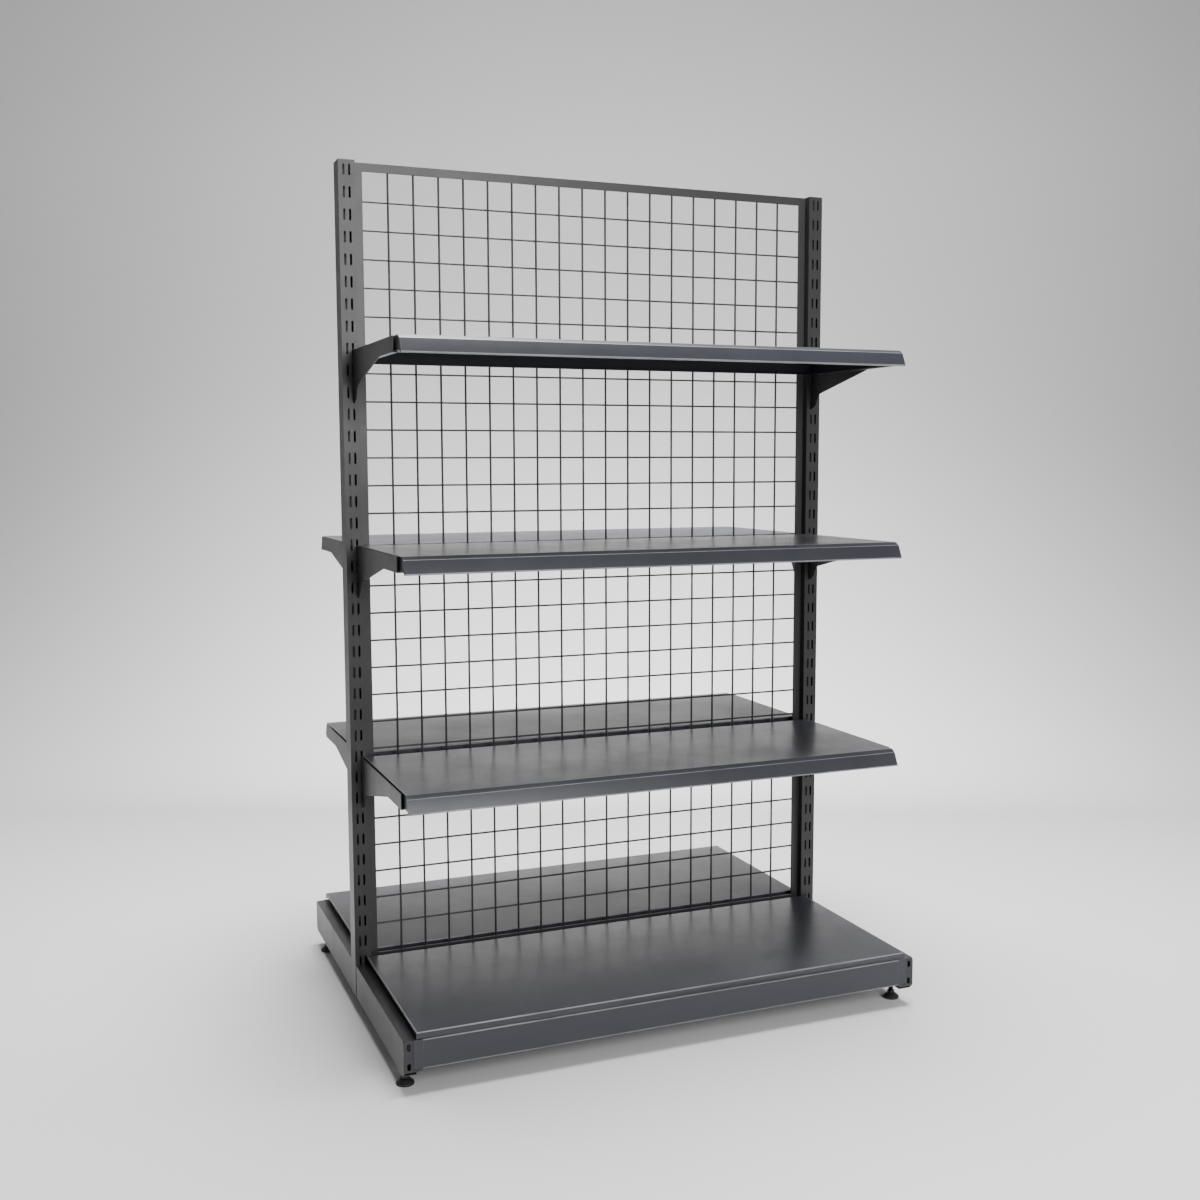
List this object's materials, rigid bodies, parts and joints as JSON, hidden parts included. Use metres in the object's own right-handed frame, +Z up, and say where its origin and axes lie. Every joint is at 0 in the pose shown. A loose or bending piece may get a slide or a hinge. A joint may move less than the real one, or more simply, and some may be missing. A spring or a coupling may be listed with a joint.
{
  "type": "double-sided gondola shelving unit",
  "caption": "Free-standing retail gondola bay: slotted uprights, wire mesh back, lift-off metal shelves on hooked brackets, base decks, kick plates and levelling feet.",
  "frame": {"origin": "centre of the unit's footprint, on the floor under the back panels", "axes": "+X along the bay from the left upright to the right one, -Y towards the front side (the one with three shelves), +Z up"},
  "size_m": [1.264, 0.992, 2],
  "materials": {
    "charcoal_powder_coat": "satin charcoal powder coat",
    "zinc_plated_steel": "bright zinc plate",
    "black_zinc_steel": "black zinc plate",
    "black_plastic": "moulded black"
  },
  "bodies": {
    "frame": {"upright_left": "charcoal_powder_coat", "upright_right": "charcoal_powder_coat", "back_panel_frame_top": "charcoal_powder_coat", "upright_wires_top": "charcoal_powder_coat", "cross_wires_top": "charcoal_powder_coat", "back_panel_frame_mid": "charcoal_powder_coat", "upright_wires_mid": "charcoal_powder_coat", "cross_wires_mid": "charcoal_powder_coat", "back_panel_frame_low": "charcoal_powder_coat", "upright_wires_low": "charcoal_powder_coat", "cross_wires_low": "charcoal_powder_coat", "panel_clips": "charcoal_powder_coat", "clip_screws": "zinc_plated_steel", "base_leg_front_left": "charcoal_powder_coat", "base_leg_front_right": "charcoal_powder_coat", "base_leg_rear_left": "charcoal_powder_coat", "base_leg_rear_right": "charcoal_powder_coat", "leg_weld_nuts": "zinc_plated_steel", "leg_bolts": "zinc_plated_steel", "leg_bolt_nuts": "zinc_plated_steel"},
    "brackets_top_front": {"bracket_top_front_left": "charcoal_powder_coat", "bracket_top_front_right": "charcoal_powder_coat"},
    "shelf_top_front": {"shelf_top_front": "charcoal_powder_coat", "shelf_stiffener_top_front": "charcoal_powder_coat"},
    "brackets_mid_front": {"bracket_mid_front_left": "charcoal_powder_coat", "bracket_mid_front_right": "charcoal_powder_coat"},
    "shelf_mid_front": {"shelf_mid_front": "charcoal_powder_coat", "shelf_stiffener_mid_front": "charcoal_powder_coat"},
    "brackets_mid_rear": {"bracket_mid_rear_left": "charcoal_powder_coat", "bracket_mid_rear_right": "charcoal_powder_coat"},
    "shelf_mid_rear": {"shelf_mid_rear": "charcoal_powder_coat", "shelf_stiffener_mid_rear": "charcoal_powder_coat"},
    "brackets_low_front": {"bracket_low_front_left": "charcoal_powder_coat", "bracket_low_front_right": "charcoal_powder_coat"},
    "shelf_low_front": {"shelf_low_front": "charcoal_powder_coat", "shelf_stiffener_low_front": "charcoal_powder_coat"},
    "brackets_low_rear": {"bracket_low_rear_left": "charcoal_powder_coat", "bracket_low_rear_right": "charcoal_powder_coat"},
    "shelf_low_rear": {"shelf_low_rear": "charcoal_powder_coat", "shelf_stiffener_low_rear": "charcoal_powder_coat"},
    "deck_front": {"deck_front": "charcoal_powder_coat", "deck_stiffener_front": "charcoal_powder_coat"},
    "kick_plate_front": {"kick_plate_front": "charcoal_powder_coat"},
    "deck_rear": {"deck_rear": "charcoal_powder_coat", "deck_stiffener_rear": "charcoal_powder_coat"},
    "kick_plate_rear": {"kick_plate_rear": "charcoal_powder_coat"},
    "foot_pad_front_left": {"foot_pad_front_left": "black_plastic"},
    "foot_stud_front_left": {"foot_stud_front_left": "black_zinc_steel"},
    "foot_pad_front_right": {"foot_pad_front_right": "black_plastic"},
    "foot_stud_front_right": {"foot_stud_front_right": "black_zinc_steel"},
    "foot_pad_rear_left": {"foot_pad_rear_left": "black_plastic"},
    "foot_stud_rear_left": {"foot_stud_rear_left": "black_zinc_steel"},
    "foot_pad_rear_right": {"foot_pad_rear_right": "black_plastic"},
    "foot_stud_rear_right": {"foot_stud_rear_right": "black_zinc_steel"}
  },
  "joints": [
    {"name": "brackets_top_front_unhook", "type": "slide", "parent": "frame", "child": "brackets_top_front", "axis": [0, 0, 1], "range_m": [0, 0.01]},
    {"name": "shelf_top_front_lift", "type": "slide", "parent": "brackets_top_front", "child": "shelf_top_front", "axis": [0, 0, 1], "range_m": [0, 0.1]},
    {"name": "brackets_mid_front_unhook", "type": "slide", "parent": "frame", "child": "brackets_mid_front", "axis": [0, 0, 1], "range_m": [0, 0.01]},
    {"name": "shelf_mid_front_lift", "type": "slide", "parent": "brackets_mid_front", "child": "shelf_mid_front", "axis": [0, 0, 1], "range_m": [0, 0.1]},
    {"name": "brackets_mid_rear_unhook", "type": "slide", "parent": "frame", "child": "brackets_mid_rear", "axis": [0, 0, 1], "range_m": [0, 0.01]},
    {"name": "shelf_mid_rear_lift", "type": "slide", "parent": "brackets_mid_rear", "child": "shelf_mid_rear", "axis": [0, 0, 1], "range_m": [0, 0.1]},
    {"name": "brackets_low_front_unhook", "type": "slide", "parent": "frame", "child": "brackets_low_front", "axis": [0, 0, 1], "range_m": [0, 0.01]},
    {"name": "shelf_low_front_lift", "type": "slide", "parent": "brackets_low_front", "child": "shelf_low_front", "axis": [0, 0, 1], "range_m": [0, 0.1]},
    {"name": "brackets_low_rear_unhook", "type": "slide", "parent": "frame", "child": "brackets_low_rear", "axis": [0, 0, 1], "range_m": [0, 0.01]},
    {"name": "shelf_low_rear_lift", "type": "slide", "parent": "brackets_low_rear", "child": "shelf_low_rear", "axis": [0, 0, 1], "range_m": [0, 0.1]},
    {"name": "deck_front_lift", "type": "slide", "parent": "frame", "child": "deck_front", "axis": [0, 0, 1], "range_m": [0, 0.1]},
    {"name": "kick_plate_front_pull", "type": "slide", "parent": "frame", "child": "kick_plate_front", "axis": [0, -1, 0], "range_m": [0, 0.06]},
    {"name": "deck_rear_lift", "type": "slide", "parent": "frame", "child": "deck_rear", "axis": [0, 0, 1], "range_m": [0, 0.1]},
    {"name": "kick_plate_rear_pull", "type": "slide", "parent": "frame", "child": "kick_plate_rear", "axis": [0, 1, 0], "range_m": [0, 0.06]},
    {"name": "foot_front_left_height", "type": "slide", "parent": "frame", "child": "foot_pad_front_left", "axis": [0, 0, 1], "range_m": [-0.012, 0.018]},
    {"name": "foot_front_left_turn", "type": "hinge", "parent": "foot_pad_front_left", "child": "foot_stud_front_left", "pos_m": [-0.612, -0.428, 0.02], "axis": [0, 0, 1], "range_deg": [-2470, 3704]},
    {"name": "foot_front_right_height", "type": "slide", "parent": "frame", "child": "foot_pad_front_right", "axis": [0, 0, 1], "range_m": [-0.012, 0.018]},
    {"name": "foot_front_right_turn", "type": "hinge", "parent": "foot_pad_front_right", "child": "foot_stud_front_right", "pos_m": [0.612, -0.428, 0.02], "axis": [0, 0, 1], "range_deg": [-2470, 3704]},
    {"name": "foot_rear_left_height", "type": "slide", "parent": "frame", "child": "foot_pad_rear_left", "axis": [0, 0, 1], "range_m": [-0.012, 0.018]},
    {"name": "foot_rear_left_turn", "type": "hinge", "parent": "foot_pad_rear_left", "child": "foot_stud_rear_left", "pos_m": [-0.612, 0.428, 0.02], "axis": [0, 0, 1], "range_deg": [-2470, 3704]},
    {"name": "foot_rear_right_height", "type": "slide", "parent": "frame", "child": "foot_pad_rear_right", "axis": [0, 0, 1], "range_m": [-0.012, 0.018]},
    {"name": "foot_rear_right_turn", "type": "hinge", "parent": "foot_pad_rear_right", "child": "foot_stud_rear_right", "pos_m": [0.612, 0.428, 0.02], "axis": [0, 0, 1], "range_deg": [-2470, 3704]}
  ],
  "couplings": [
    {"joint": "foot_front_left_turn", "follows": "foot_front_left_height", "rad_per_m": 3590.4},
    {"joint": "foot_front_right_turn", "follows": "foot_front_right_height", "rad_per_m": 3590.4},
    {"joint": "foot_rear_left_turn", "follows": "foot_rear_left_height", "rad_per_m": 3590.4},
    {"joint": "foot_rear_right_turn", "follows": "foot_rear_right_height", "rad_per_m": 3590.4}
  ]
}
